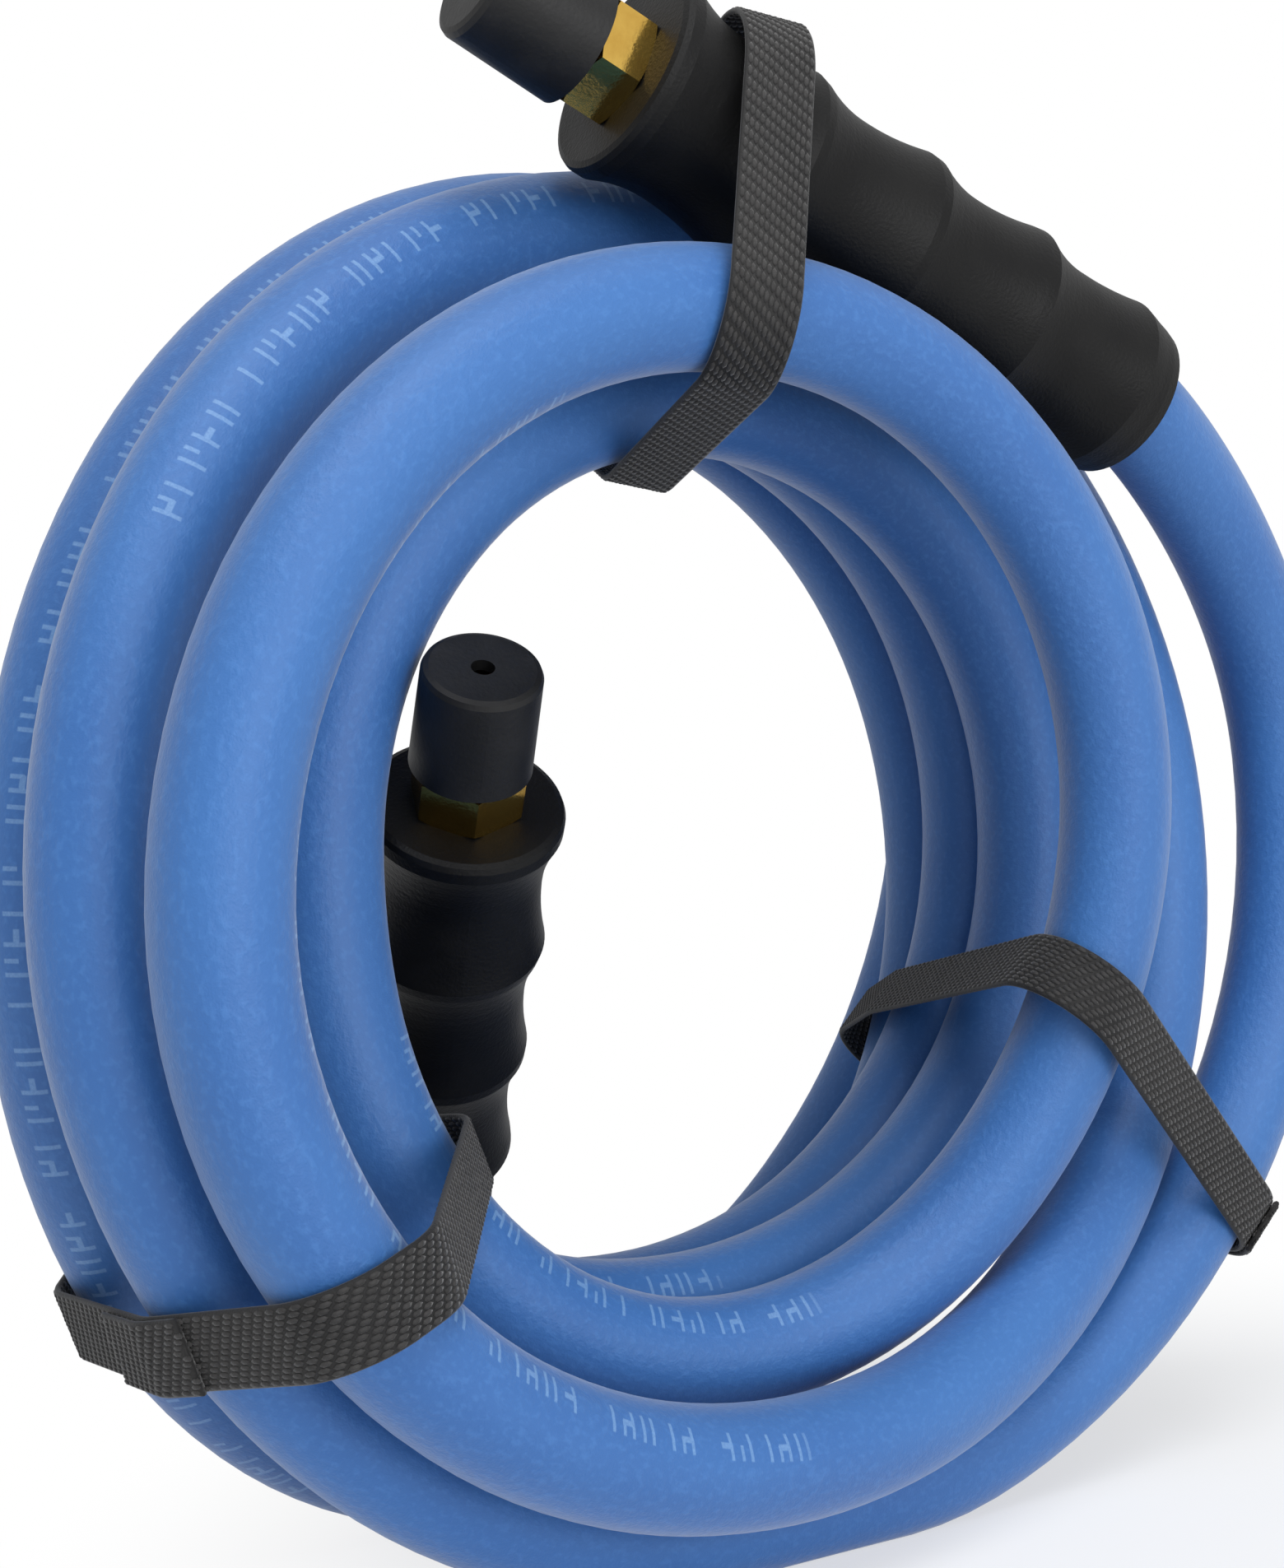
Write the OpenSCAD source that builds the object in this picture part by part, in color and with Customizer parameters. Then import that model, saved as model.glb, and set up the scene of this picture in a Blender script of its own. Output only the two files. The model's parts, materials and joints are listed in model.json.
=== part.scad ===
// A coiled rubber air hose with brass male fittings, moulded bend restrictors,
// push-on thread caps and three woven ties. The coil stands on edge: its axis
// runs along Y, Z is up, and the floor is the plane z = 0.

/* [Hose] */
// Outside diameter of the hose
hose_d = 17; // [16:0.25:18]
// Bore of the hose
bore_d = 9.5; // [9:0.25:10]
// Clear space left between neighbouring turns
lay_gap = 0.7; // [0.6:0.1:1.5]
// Radius of the coil at its innermost turns, to the middle of the hose
eye_r = 66; // [64:1:72]
// How deep the floor flattens the lowest turns
flat_cut = 1.7; // [1:0.1:2]

/* [Fitting] */
// Width across the flats of the hexagon
hex_af = 15; // [14.5:0.1:16]
// Length of the hexagon
hex_len = 7; // [6:0.5:9]
// Length of the tapered thread
thread_len = 15; // [12:0.5:17]
// Diameter of the thread at its large end
thread_d = 13.7; // [13.2:0.1:13.9]
// Bore through the fitting
way_d = 7.2; // [6:0.2:7.6]
// Length of the barbed tail inside the hose
tail_len = 30; // [24:1:34]
// Diameter of the barbed tail between its barbs
tail_d = 9.2; // [8.8:0.1:9.4]
// How far a barb stands out of the tail
barb_h = 0.6; // [0.4:0.1:0.8]
// Number of barbs
barb_n = 5; // [3:1:6]

/* [Crimp sleeve] */
// Wall of the crimp sleeve
ferrule_wall = 1.3; // [1:0.1:1.5]
// Length of the crimp sleeve
ferrule_len = 28; // [24:1:32]

/* [Grip] */
// Length of the moulded grip
grip_len = 102; // [100:1:104]
// Wall of the grip between two rings, over the hose
grip_wall = 4.3; // [4.2:0.1:5]
// How far a ring of the grip stands out
ring_h = 2.0; // [1:0.1:2]
// Distance from one ring of the grip to the next
ring_pitch = 23; // [21:0.5:23]
// Number of rings after the one at the fitting
ring_n = 4; // [3:1:4]
// Thickness of the grip's wall next to the hexagon
lip = 1.5; // [1.2:0.1:2]

/* [Cap] */
// Wall of the thread cap
cap_wall = 1.8; // [1.4:0.1:1.9]
// Vent hole in the end of the cap
vent_d = 3.4; // [2.5:0.1:4.5]

/* [Ties] */
// Width of the woven tape
tape_w = 10; // [7:0.5:11]
// Thickness of the woven tape
tape_t = 1.2; // [0.8:0.1:1.4]
// Clear space between a tie and the turns that it holds
tape_gap = 0.6; // [0.4:0.1:0.8]

/* [Hidden] */

fit_gap = 0.3;        // running clearance of the caps and of the grips on the hose
push_gap = 0.15;      // clearance of the sleeves in the grips and on the stems
hose_r = hose_d / 2;
pitch = hose_d + lay_gap;

// ---- how the coil is laid ------------------------------------------------
// One row a turn, with the turn's place at its top, right, bottom and left.
// Each place is [how far out of the eye, how far back], in hose pitches.
lay = [[[3.35, 0.45], [3.10, -0.45], [1.75, -0.15], [1.75, -0.15]],
       [[1.60, 0.55], [1.80, 0.10], [0.90, -1.10], [1.45, -1.45]],
       [[0.50, -1.35], [-0.25, -1.20], [0.35, 0.15], [-0.60, 1.00]],
       [[0.25, 0.75], [0.90, 0.95], [0.20, 1.25], [0.20, 2.05]],
       [[0.65, 1.70], [1.10, 1.95], [0.35, 2.25], [0.15, 3.10]],
       [[0.85, 2.70], [1.45, 2.90], [1.75, 2.65], [1.60, 1.15]],
       [[1.90, 1.80], [2.55, 4.05], [2.75, 6.30], [2.95, 7.35]]];
stations = [for (turn = lay) for (place = turn) place];
rings_per_turn = 24;
sides = 6;
step = 4 / rings_per_turn;                 // from ring to ring, in quarter turns
wind_steps = 147;
wind_from = 1 - step / 2;
wind_to = wind_from + wind_steps * step;
low_row = max(lay[0][2].x, lay[5][2].x);   // the two turns that touch the floor
back_0 = lay[0][2].y;                      // the first of them lies over the origin

facet_r = hose_r * cos(180 / sides);
axis_h = (eye_r + pitch * low_row + facet_r) * cos(45 * step) - flat_cut;

// Catmull-Rom blend of four numbers or points
function blend(a, b, c, d, t) =
    0.5 * (2 * b + (c - a) * t + (2 * a - 5 * b + 4 * c - d) * t * t
           + (3 * b - a - 3 * c + d) * t * t * t);
function station(i) = stations[max(0, min(len(stations) - 1, i))];
function place(k) =
    let (i = floor(k))
    blend(station(i - 1), station(i), station(i + 1), station(i + 2), k - i);
// A point from its angle round the coil, clockwise from the top, and its place
function polar(angle, at) =
    let (r = eye_r + pitch * at.x)
    [r * sin(angle), pitch * (at.y - back_0), r * cos(angle) + axis_h];
function turn_point(k) = polar(90 * k, place(k));
function unit(v) = v / norm(v);
function heading(k) = unit(turn_point(k + 0.01) - turn_point(k - 0.01));
function bezier(p, t) =
    pow(1 - t, 3) * p[0] + 3 * pow(1 - t, 2) * t * p[1]
    + 3 * (1 - t) * t * t * p[2] + pow(t, 3) * p[3];

// ---- where the two ends point --------------------------------------------
// Each end is fixed by the mouth of its grip and by a point on the axis at the fitting
outer_mouth = polar(44.5, [2.00, -0.90]);
outer_aim = polar(-12.5, [2.60, -0.70]);
inner_mouth = polar(185.5, [0.05, 4.55]);
inner_aim = polar(291.5, [-1.75, 0.90]);
outer_dir = unit(outer_mouth - outer_aim);
inner_dir = unit(inner_mouth - inner_aim);
outer_end = outer_mouth - grip_len * outer_dir;
inner_end = inner_mouth - grip_len * inner_dir;

// ---- fitting, along its own axis: z = 0 is where the hexagon meets the grip ----
neck_step = 0.4;
neck_r = tail_d / 2 + barb_h + neck_step;
ferrule_z = lip + push_gap;
ferrule_lip = 1.2;
hose_z = ferrule_z + ferrule_lip + push_gap;
ferrule_in = hose_r + push_gap;
ferrule_out = ferrule_in + ferrule_wall;
thread_taper = 1 / 32;                     // of radius per length
bite = 0.8;                                // height of the bevels on the brass

// The hose's middle line: straight in a grip, a bend, the turns, a bend, straight
outer_bend = [outer_mouth, outer_mouth + 0.4 * pitch * outer_dir,
              turn_point(wind_from) - 1.9 * pitch * heading(wind_from),
              turn_point(wind_from)];
inner_bend = [turn_point(wind_to), turn_point(wind_to) + 3.5 * pitch * heading(wind_to),
              inner_mouth + 2.1 * pitch * inner_dir, inner_mouth];
outer_bend_n = 5;
inner_bend_n = 10;
function middle_line(fine) =
    concat([outer_end + hose_z * outer_dir],
           [outer_mouth - hose_d * outer_dir],
           [for (i = [0 : outer_bend_n * fine - 1]) bezier(outer_bend, i / outer_bend_n / fine)],
           [for (i = [0 : wind_steps * fine]) turn_point(wind_from + i * step / fine)],
           [for (i = [1 : inner_bend_n * fine]) bezier(inner_bend, i / inner_bend_n / fine)],
           [inner_mouth - hose_d * inner_dir],
           [inner_end + hose_z * inner_dir]);
line = middle_line(1);
function ahead(p, i) = unit(p[min(i + 1, len(p) - 1)] - p[max(i - 1, 0)]);

// Length of the hose and its least gap to itself, measured on close points
fine_line = middle_line(2);
runs = [for (i = [1 : len(fine_line) - 1]) norm(fine_line[i] - fine_line[i - 1])];
function total(v, i = 0, sum = 0) = i == len(v) ? sum : total(v, i + 1, sum + v[i]);
apart = 12;                                // points nearer than this along the hose don't count
least_gap = min([for (i = [0 : len(fine_line) - 1])
                 for (j = [i + apart : 1 : len(fine_line) - 1])
                     norm(fine_line[i] - fine_line[j])]) - hose_d;
echo(str("hose length ", total(runs), ", least gap to itself ", least_gap));

// ---- modules ---------------------------------------------------------------
// Puts a piece drawn along +Z onto an end of the hose
module at_end(p, dir) {
    translate(p)
        rotate([0, acos(dir.z), atan2(dir.y, dir.x)])
            children();
}

// Bored tube along points, as one unbroken skin, cut flat where it stands
module tube(p, r_out, r_in) {
    count = len(p);
    wide = r_in / cos(180 / sides);
    function skin(i, r) =
        let (t = ahead(p, i), b = unit(cross(t, [0, 1, 0])), n = cross(b, t))
        [for (s = [0 : sides - 1])
            let (q = p[i] + r * (cos(360 * s / sides) * n + sin(360 * s / sides) * b))
            [q.x, q.y, max(q.z, 0)]];
    inside = count * sides;
    function nxt(s) = (s + 1) % sides;
    outer_faces = [for (i = [0 : count - 2]) for (s = [0 : sides - 1])
        each [[i * sides + s, (i + 1) * sides + s, i * sides + nxt(s)],
              [i * sides + nxt(s), (i + 1) * sides + s, (i + 1) * sides + nxt(s)]]];
    inner_faces = [for (f = outer_faces) [f[0] + inside, f[2] + inside, f[1] + inside]];
    last = (count - 1) * sides;
    ends = [for (s = [0 : sides - 1])
        each [[s, nxt(s), inside + s],
              [nxt(s), inside + nxt(s), inside + s],
              [last + nxt(s), last + s, last + inside + s],
              [last + inside + nxt(s), last + nxt(s), last + inside + s]]];
    polyhedron(points = concat([for (i = [0 : count - 1]) each skin(i, r_out)],
                               [for (i = [0 : count - 1]) each skin(i, wide)]),
               faces = concat(outer_faces, inner_faces, ends));
}

module hose() {
    color("steelblue") tube(line, hose_r, bore_d / 2);
}

// Male fitting: tapered thread, hexagon, neck and barbed tail, bored through
barb_margin = 2;   // plain tail before the first barb and after the last
barb_share = 0.8;  // of a barb's pitch that its cone takes
module stem() {
    tip_r = thread_d / 2 - thread_len * thread_taper;
    barb_pitch = (tail_len - 2 * barb_margin) / barb_n;
    hex_r = hex_af / 2 / cos(30);
    difference() {
        union() {
            rotate_extrude($fn = 64)
                polygon([[0, -hex_len - thread_len], [tip_r - bite, -hex_len - thread_len],
                         [tip_r, -hex_len - thread_len + bite],
                         [thread_d / 2, -hex_len], [0, -hex_len]]);
            intersection() {
                translate([0, 0, -hex_len]) cylinder(r = hex_r, h = hex_len, $fn = 6);
                rotate_extrude($fn = 64)
                    polygon([[0, -hex_len], [hex_r - bite, -hex_len], [hex_r, -hex_len + bite / 2],
                             [hex_r, -bite / 2], [hex_r - bite, 0], [0, 0]]);
            }
            cylinder(r = neck_r, h = hose_z - push_gap, $fn = 64);
            cylinder(d = tail_d, h = hose_z + tail_len, $fn = 64);
            for (i = [0 : barb_n - 1])
                translate([0, 0, hose_z + barb_margin + i * barb_pitch])
                    cylinder(r1 = tail_d / 2 + barb_h, r2 = tail_d / 2,
                             h = barb_pitch * barb_share, $fn = 64);
        }
        translate([0, 0, -hex_len - thread_len - 1])
            cylinder(d = way_d, h = hex_len + thread_len + hose_z + tail_len + 2, $fn = 64);
    }
}

// Crimp sleeve round the hose end, its inward lip behind the neck's flange
module ferrule() {
    groove = 0.4;
    groove_w = 3;
    end_z = ferrule_z + ferrule_len;
    rotate_extrude($fn = 64)
        difference() {
            polygon([[neck_r + push_gap, ferrule_z], [ferrule_out, ferrule_z], [ferrule_out, end_z],
                     [ferrule_in, end_z], [ferrule_in, ferrule_z + ferrule_lip],
                     [neck_r + push_gap, ferrule_z + ferrule_lip]]);
            for (i = [1 : 3])
                translate([ferrule_out - groove, ferrule_z + i * ferrule_len / 4 - groove_w / 2])
                    square([groove * 2, groove_w]);
        }
}

// Moulded bend restrictor: rings with finger hollows between them, thinner at the mouth
grip_bore = hose_r + fit_gap;
valley_r = hose_r + grip_wall;
first_ring = 3;
ring_fall = 0.4;       // share of a pitch over which a ring falls towards the mouth
last_ring = first_ring + ring_n * ring_pitch;
// from one crest down to the hollow and up to the next crest
function ring_wave(u) = u < ring_fall ? pow(1 - u / ring_fall, 2)
                                      : pow((u - ring_fall) / (1 - ring_fall), 2);
function ring_top(z) = z > last_ring - ring_pitch / 2 ? ring_h * 0.7 : ring_h;
function grip_r(z) =
    let (u = (z - first_ring) / ring_pitch)
    z < first_ring ? valley_r + ring_h
                   : valley_r + ring_top(z) * ring_wave(u - floor(u));
module grip() {
    soft = 1.2;          // rounding of the two rims
    steps_n = 60;
    pocket_r = ferrule_out + push_gap;
    pocket_z = ferrule_z + ferrule_len + push_gap;
    rotate_extrude($fn = 72)
        polygon(concat(
            [[neck_r + push_gap, 0], [grip_r(0) - soft, 0], [grip_r(0) - soft * 0.3, soft * 0.3],
             [grip_r(0), soft]],
            [for (i = [0 : steps_n]) let (z = first_ring + (grip_len - 2 * soft - first_ring) * i / steps_n)
                [grip_r(z), z]],
            [[grip_r(grip_len - 2 * soft) - soft * 0.4, grip_len - soft * 0.5],
             [grip_r(grip_len - 2 * soft) - soft * 1.2, grip_len],
             [grip_bore, grip_len], [grip_bore, pocket_z], [pocket_r, pocket_z], [pocket_r, lip],
             [neck_r + push_gap, lip]]));
}

// Push-on thread cap: a cup over the thread, with a vent hole in its end
module cap() {
    in_r = thread_d / 2 + fit_gap;
    out_r = in_r + cap_wall;
    mouth_z = -hex_len - fit_gap;
    floor_z = mouth_z - thread_len - fit_gap;
    end_z = floor_z - cap_wall;
    round_r = 0.6 * cap_wall;
    draft = 0.3;
    rotate_extrude($fn = 64)
        polygon([[vent_d / 2, end_z], [out_r - draft - round_r, end_z],
                 [out_r - draft - 0.3 * round_r, end_z + 0.3 * round_r],
                 [out_r - draft, end_z + round_r], [out_r, mouth_z], [in_r, mouth_z],
                 [in_r, floor_z], [vent_d / 2, floor_z]]);
}

// Woven tie: a flat band drawn tight round the turns. Its plane crosses the middle of the
// bundle at one angle of the coil, leans away from the radius there and is tilted about it.
top_tie = [357, 14, -20];      // [angle, lean, tilt]
right_tie = [116.5, 15, 7];
left_tie = [234.5, 16, 6];
function out_of(tie) = [sin(tie[0] + tie[1]), 0, cos(tie[0] + tie[1])];
function round_from(tie) = [cos(tie[0] + tie[1]), 0, -sin(tie[0] + tie[1])];
function across(tie) = cos(tie[2]) * round_from(tie) + [0, sin(tie[2]), 0];
function back_of(tie) = [0, cos(tie[2]), 0] - sin(tie[2]) * round_from(tie);
function pivot(tie) = let (r = eye_r + pitch) [r * sin(tie[0]), 0, r * cos(tie[0]) + axis_h];
function in_plane(p, tie) = [(p - pivot(tie)) * back_of(tie), (p - pivot(tie)) * out_of(tie)];
// Where a turn passes an edge of the tape, found from a first guess in a few tries
function crossing(k, tie, edge, tries = 3) =
    let (tiny = 0.01,
         off = (turn_point(k) - pivot(tie)) * across(tie) - edge * tape_w,
         rate = (turn_point(k + tiny) - turn_point(k - tiny)) * across(tie) / 2 / tiny)
    tries == 0 ? k : crossing(k - off / rate, tie, edge, tries - 1);
// What a tie goes round at its two edges, as [place back, place out, radius]
function passes(tie) =
    [for (i = [0 : 5]) for (edge = [-0.5, 0.5])
        let (k = crossing(tie[0] / 90 + 4 * i, tie, edge))
        concat(in_plane(turn_point(k), tie), [hose_r / (heading(k) * across(tie))])];
// The outer grip is slanted to the top tie, which goes round it too
function grip_at(tie, edge) =
    let (s = (edge * tape_w - (outer_end - pivot(tie)) * across(tie)) / (outer_dir * across(tie)))
    concat(in_plane(outer_end + s * outer_dir, tie), [valley_r + ring_h]);
top_held = concat(passes(top_tie), [grip_at(top_tie, -0.5), grip_at(top_tie, 0.5)]);
right_held = passes(right_tie);
left_held = passes(left_tie);

lap_len = 20;          // room that the free end is cut to
lap_sink = tape_t / 2;  // how deep it is sunk into the band
module band_outline(held, grow) {
    hull()
        for (h = held)
            translate([h[0], h[1]]) circle(r = h[2] + grow, $fn = 32);
}
// A tie round what it holds, with its free end laid over the band near one turn
module strap(tie, held, lap) {
    translate(pivot(tie))
        rotate([0, tie[0] + tie[1], 0])
            rotate([90, 0, 90 + tie[2]])
                linear_extrude(tape_w, center = true) {
                    difference() {
                        band_outline(held, tape_gap + tape_t);
                        band_outline(held, tape_gap);
                    }
                    intersection() {
                        difference() {
                            band_outline(held, tape_gap + 2 * tape_t);
                            band_outline(held, tape_gap + tape_t - lap_sink);
                        }
                        translate([lap[0], lap[1] + hose_r]) square(lap_len, center = true);
                    }
                }
}

module stem_outer() { color("gold") at_end(outer_end, outer_dir) stem(); }
module stem_inner() { color("gold") at_end(inner_end, inner_dir) stem(); }
module ferrule_outer() { color("darkgoldenrod") at_end(outer_end, outer_dir) ferrule(); }
module ferrule_inner() { color("darkgoldenrod") at_end(inner_end, inner_dir) ferrule(); }
module grip_outer() { color([0.11, 0.11, 0.11]) at_end(outer_end, outer_dir) grip(); }
module grip_inner() { color([0.11, 0.11, 0.11]) at_end(inner_end, inner_dir) grip(); }
module cap_outer() { color([0.15, 0.15, 0.16]) at_end(outer_end, outer_dir) cap(); }
module cap_inner() { color([0.15, 0.15, 0.16]) at_end(inner_end, inner_dir) cap(); }
module strap_top() { color([0.3, 0.28, 0.26]) strap(top_tie, top_held, top_held[8]); }
module strap_left() { color([0.3, 0.28, 0.26]) strap(left_tie, left_held, left_held[0]); }
module strap_right() { color([0.3, 0.28, 0.26]) strap(right_tie, right_held, right_held[0]); }

hose();
stem_outer();
stem_inner();
ferrule_outer();
ferrule_inner();
grip_outer();
grip_inner();
cap_outer();
cap_inner();
strap_top();
strap_left();
strap_right();
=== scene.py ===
"""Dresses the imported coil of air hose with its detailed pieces, finishes, light and camera."""

from __future__ import annotations

import json
import logging
import math
from dataclasses import dataclass, field
from enum import Enum
from typing import Any, Iterable, Sequence, Union

import bmesh
import bpy
import numpy as np
from mathutils import Matrix, Vector

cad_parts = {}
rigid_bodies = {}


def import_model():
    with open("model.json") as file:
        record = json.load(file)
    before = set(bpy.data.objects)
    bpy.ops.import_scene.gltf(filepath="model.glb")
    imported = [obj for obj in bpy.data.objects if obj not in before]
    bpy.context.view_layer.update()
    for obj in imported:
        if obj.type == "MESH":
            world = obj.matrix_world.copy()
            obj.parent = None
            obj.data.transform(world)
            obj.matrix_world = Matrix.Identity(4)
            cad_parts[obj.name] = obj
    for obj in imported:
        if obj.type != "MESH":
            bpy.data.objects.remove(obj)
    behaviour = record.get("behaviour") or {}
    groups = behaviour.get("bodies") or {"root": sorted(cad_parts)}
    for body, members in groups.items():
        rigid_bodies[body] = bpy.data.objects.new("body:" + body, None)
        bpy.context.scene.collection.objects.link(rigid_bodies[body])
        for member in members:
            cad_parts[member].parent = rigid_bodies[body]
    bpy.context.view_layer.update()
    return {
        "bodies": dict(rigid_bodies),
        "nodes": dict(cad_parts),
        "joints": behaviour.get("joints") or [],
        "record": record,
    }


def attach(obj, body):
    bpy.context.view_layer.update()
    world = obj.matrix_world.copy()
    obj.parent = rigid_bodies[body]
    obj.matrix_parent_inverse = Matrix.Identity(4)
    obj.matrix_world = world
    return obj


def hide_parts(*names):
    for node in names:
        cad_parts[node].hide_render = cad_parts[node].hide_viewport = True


log = logging.getLogger("air_hose")

MM = 0.001
COIL_BODY = "coil"


class Slot(Enum):
    """The record's material slot names for hose rubber, brass and webbing."""

    HOSE = "hose_rubber"
    BRASS = "brass"
    TAPE = "webbing"


class End(Enum):
    """The two ends of the hose."""

    OUTER = "outer"
    INNER = "inner"


# ---------------------------------------------------------------- expressions

Number = Union[float, "Signal"]


class Signal:
    """A number in a node tree that Python's operators can be used on."""

    def __init__(self, tree: "NodeBench", socket: bpy.types.NodeSocket) -> None:
        """Keeps the socket and the tree that new nodes go into."""
        self.tree = tree
        self.socket = socket

    def _math(self, operation: str, *values: Number, clamp: bool = False) -> "Signal":
        """Adds one Math node.

        Args:
            operation: the Math node's operation.
            values: what its inputs hold.
            clamp: whether the result is kept between 0 and 1.

        Returns:
            The node's result.
        """
        node = self.tree.node("ShaderNodeMath", {"operation": operation, "use_clamp": clamp},
                              dict(enumerate(values)))
        return Signal(self.tree, node.outputs[0])

    def __add__(self, other: Number) -> "Signal":
        """Adds."""
        return self._math("ADD", self, other)

    __radd__ = __add__

    def __sub__(self, other: Number) -> "Signal":
        """Subtracts."""
        return self._math("SUBTRACT", self, other)

    def __rsub__(self, other: Number) -> "Signal":
        """Subtracts this from a number."""
        return self._math("SUBTRACT", other, self)

    def __mul__(self, other: Number) -> "Signal":
        """Multiplies."""
        return self._math("MULTIPLY", self, other)

    __rmul__ = __mul__

    def __truediv__(self, other: Number) -> "Signal":
        """Divides."""
        return self._math("DIVIDE", self, other)

    def __pow__(self, other: Number) -> "Signal":
        """Raises to a power."""
        return self._math("POWER", self, other)

    def __gt__(self, other: Number) -> "Signal":
        """1 where this is the greater."""
        return self._math("GREATER_THAN", self, other)

    def __lt__(self, other: Number) -> "Signal":
        """1 where this is the less."""
        return self._math("LESS_THAN", self, other)

    def fract(self) -> "Signal":
        """The part after the point."""
        return self._math("FRACT", self)

    def floor(self) -> "Signal":
        """The whole part."""
        return self._math("FLOOR", self)

    def size(self) -> "Signal":
        """The value without its sign."""
        return self._math("ABSOLUTE", self)

    def clamp(self) -> "Signal":
        """Kept between 0 and 1."""
        return self._math("ADD", self, 0.0, clamp=True)

    def most(self, other: Number) -> "Signal":
        """The larger of two."""
        return self._math("MAXIMUM", self, other)

    def window(self, low: float, high: float) -> "Signal":
        """Rises smoothly from 0 at low to 1 at high.

        Args:
            low: where it starts.
            high: where it ends.

        Returns:
            The smooth step.
        """
        node = self.tree.node("ShaderNodeMapRange", {"interpolation_type": "SMOOTHSTEP"},
                              {"Value": self, "From Min": low, "From Max": high})
        return Signal(self.tree, node.outputs["Result"])


class NodeBench:
    """Makes nodes in one tree."""

    def __init__(self, tree: bpy.types.NodeTree) -> None:
        """Keeps the tree."""
        self.tree = tree

    def node(self, kind: str, settings: dict[str, Any] | None = None,
             values: dict[Any, Any] | None = None) -> bpy.types.Node:
        """Adds one node.

        Args:
            kind: the node's type.
            settings: its properties, set before its sockets.
            values: what its sockets hold, by name or place: a number, colour, link or Signal.

        Returns:
            The node.
        """
        node = self.tree.nodes.new(kind)
        for name, value in (settings or {}).items():
            setattr(node, name, value)
        for name, value in (values or {}).items():
            socket = node.inputs[name]
            if isinstance(value, Signal):
                value = value.socket
            if isinstance(value, bpy.types.NodeSocket):
                self.tree.links.new(value, socket)
            else:
                socket.default_value = value
        return node

    def signal(self, socket: bpy.types.NodeSocket) -> Signal:
        """Wraps a socket so that it can be used in expressions."""
        return Signal(self, socket)

    def parts(self, vector: bpy.types.NodeSocket) -> tuple[Signal, Signal, Signal]:
        """Splits a vector into its three numbers."""
        node = self.node("ShaderNodeSeparateXYZ", None, {0: vector})
        return tuple(Signal(self, out) for out in node.outputs)


# ------------------------------------------------------------------ finishes

Triple = tuple[float, float, float]
Shade = tuple[float, float, float, float]


def srgb(red: int, green: int, blue: int) -> Shade:
    """Turns a screen colour into the linear colour that shaders use.

    Args:
        red: 0 to 255.
        green: 0 to 255.
        blue: 0 to 255.

    Returns:
        Linear red, green, blue and alpha.
    """
    def linear(c: float) -> float:
        """One channel."""
        c /= 255
        return c / 12.92 if c <= 0.04045 else ((c + 0.055) / 1.055) ** 2.4
    return (linear(red), linear(green), linear(blue), 1.0)


class Finish(NodeBench):
    """A procedural material, built round one Principled shader."""

    title = "finish"
    constants: dict[str, float] = {}

    def __init__(self) -> None:
        """Makes the material."""
        self.material = bpy.data.materials.new(self.title)
        self.material.use_nodes = True
        super().__init__(self.material.node_tree)
        self.tree.nodes.clear()
        self.out = self.node("ShaderNodeOutputMaterial")
        self.shader = self.node("ShaderNodeBsdfPrincipled")
        for name, value in self.constants.items():
            self.shader.inputs[name].default_value = value
        self.tree.links.new(self.shader.outputs[0], self.out.inputs["Surface"])
        self.build()

    def build(self) -> None:
        """Adds the finish's own nodes."""
        raise NotImplementedError

    def place(self) -> bpy.types.NodeSocket:
        """Where a point is on its piece."""
        return self.node("ShaderNodeTexCoord").outputs["Object"]

    def attribute(self, name: str) -> bpy.types.NodeSocket:
        """A vector that a piece's mesh holds under a name."""
        return self.node("ShaderNodeAttribute", {"attribute_name": name}).outputs["Vector"]

    def noise(self, where: bpy.types.NodeSocket, grain: float, detail: float = 2.0,
              stretch: Triple = (1.0, 1.0, 1.0)) -> Signal:
        """A cloudy number between 0 and 1.

        Args:
            where: the coordinates.
            grain: the size of its clouds, in metres.
            detail: how many finer layers it has.
            stretch: how much finer it is along each axis.

        Returns:
            The number.
        """
        scaled = self.node("ShaderNodeVectorMath", {"operation": "MULTIPLY"},
                           {0: where, 1: [s / grain for s in stretch]})
        node = self.node("ShaderNodeTexNoise", None,
                         {"Vector": scaled.outputs[0], "Scale": 1.0, "Detail": detail})
        return self.signal(node.outputs["Fac"])

    def mix(self, amount: Number, first: Any, second: Any) -> bpy.types.NodeSocket:
        """Mixes two colours.

        Args:
            amount: 0 gives the first and 1 the second.
            first: a colour or a link.
            second: a colour or a link.

        Returns:
            The mixed colour.
        """
        node = self.node("ShaderNodeMix", {"data_type": "RGBA"}, {0: amount, 6: first, 7: second})
        return node.outputs[2]

    def bump(self, height: Signal, depth: float) -> bpy.types.NodeSocket:
        """Bumps the surface.

        Args:
            height: 0 to 1.
            depth: how high 1 stands, in metres.

        Returns:
            The normal.
        """
        return self.node("ShaderNodeBump", None, {"Height": height, "Distance": depth,
                                                  "Strength": 1.0}).outputs["Normal"]

    def feed(self, **links: Any) -> None:
        """Feeds the shader's sockets, named with underscores for spaces."""
        for name, value in links.items():
            socket = self.shader.inputs[name.replace("_", " ").title()]
            value = value.socket if isinstance(value, Signal) else value
            self.tree.links.new(value, socket)

    def dress(self, piece: bpy.types.Object) -> None:
        """Puts this finish on a piece."""
        piece.data.materials.clear()
        piece.data.materials.append(self.material)


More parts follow.
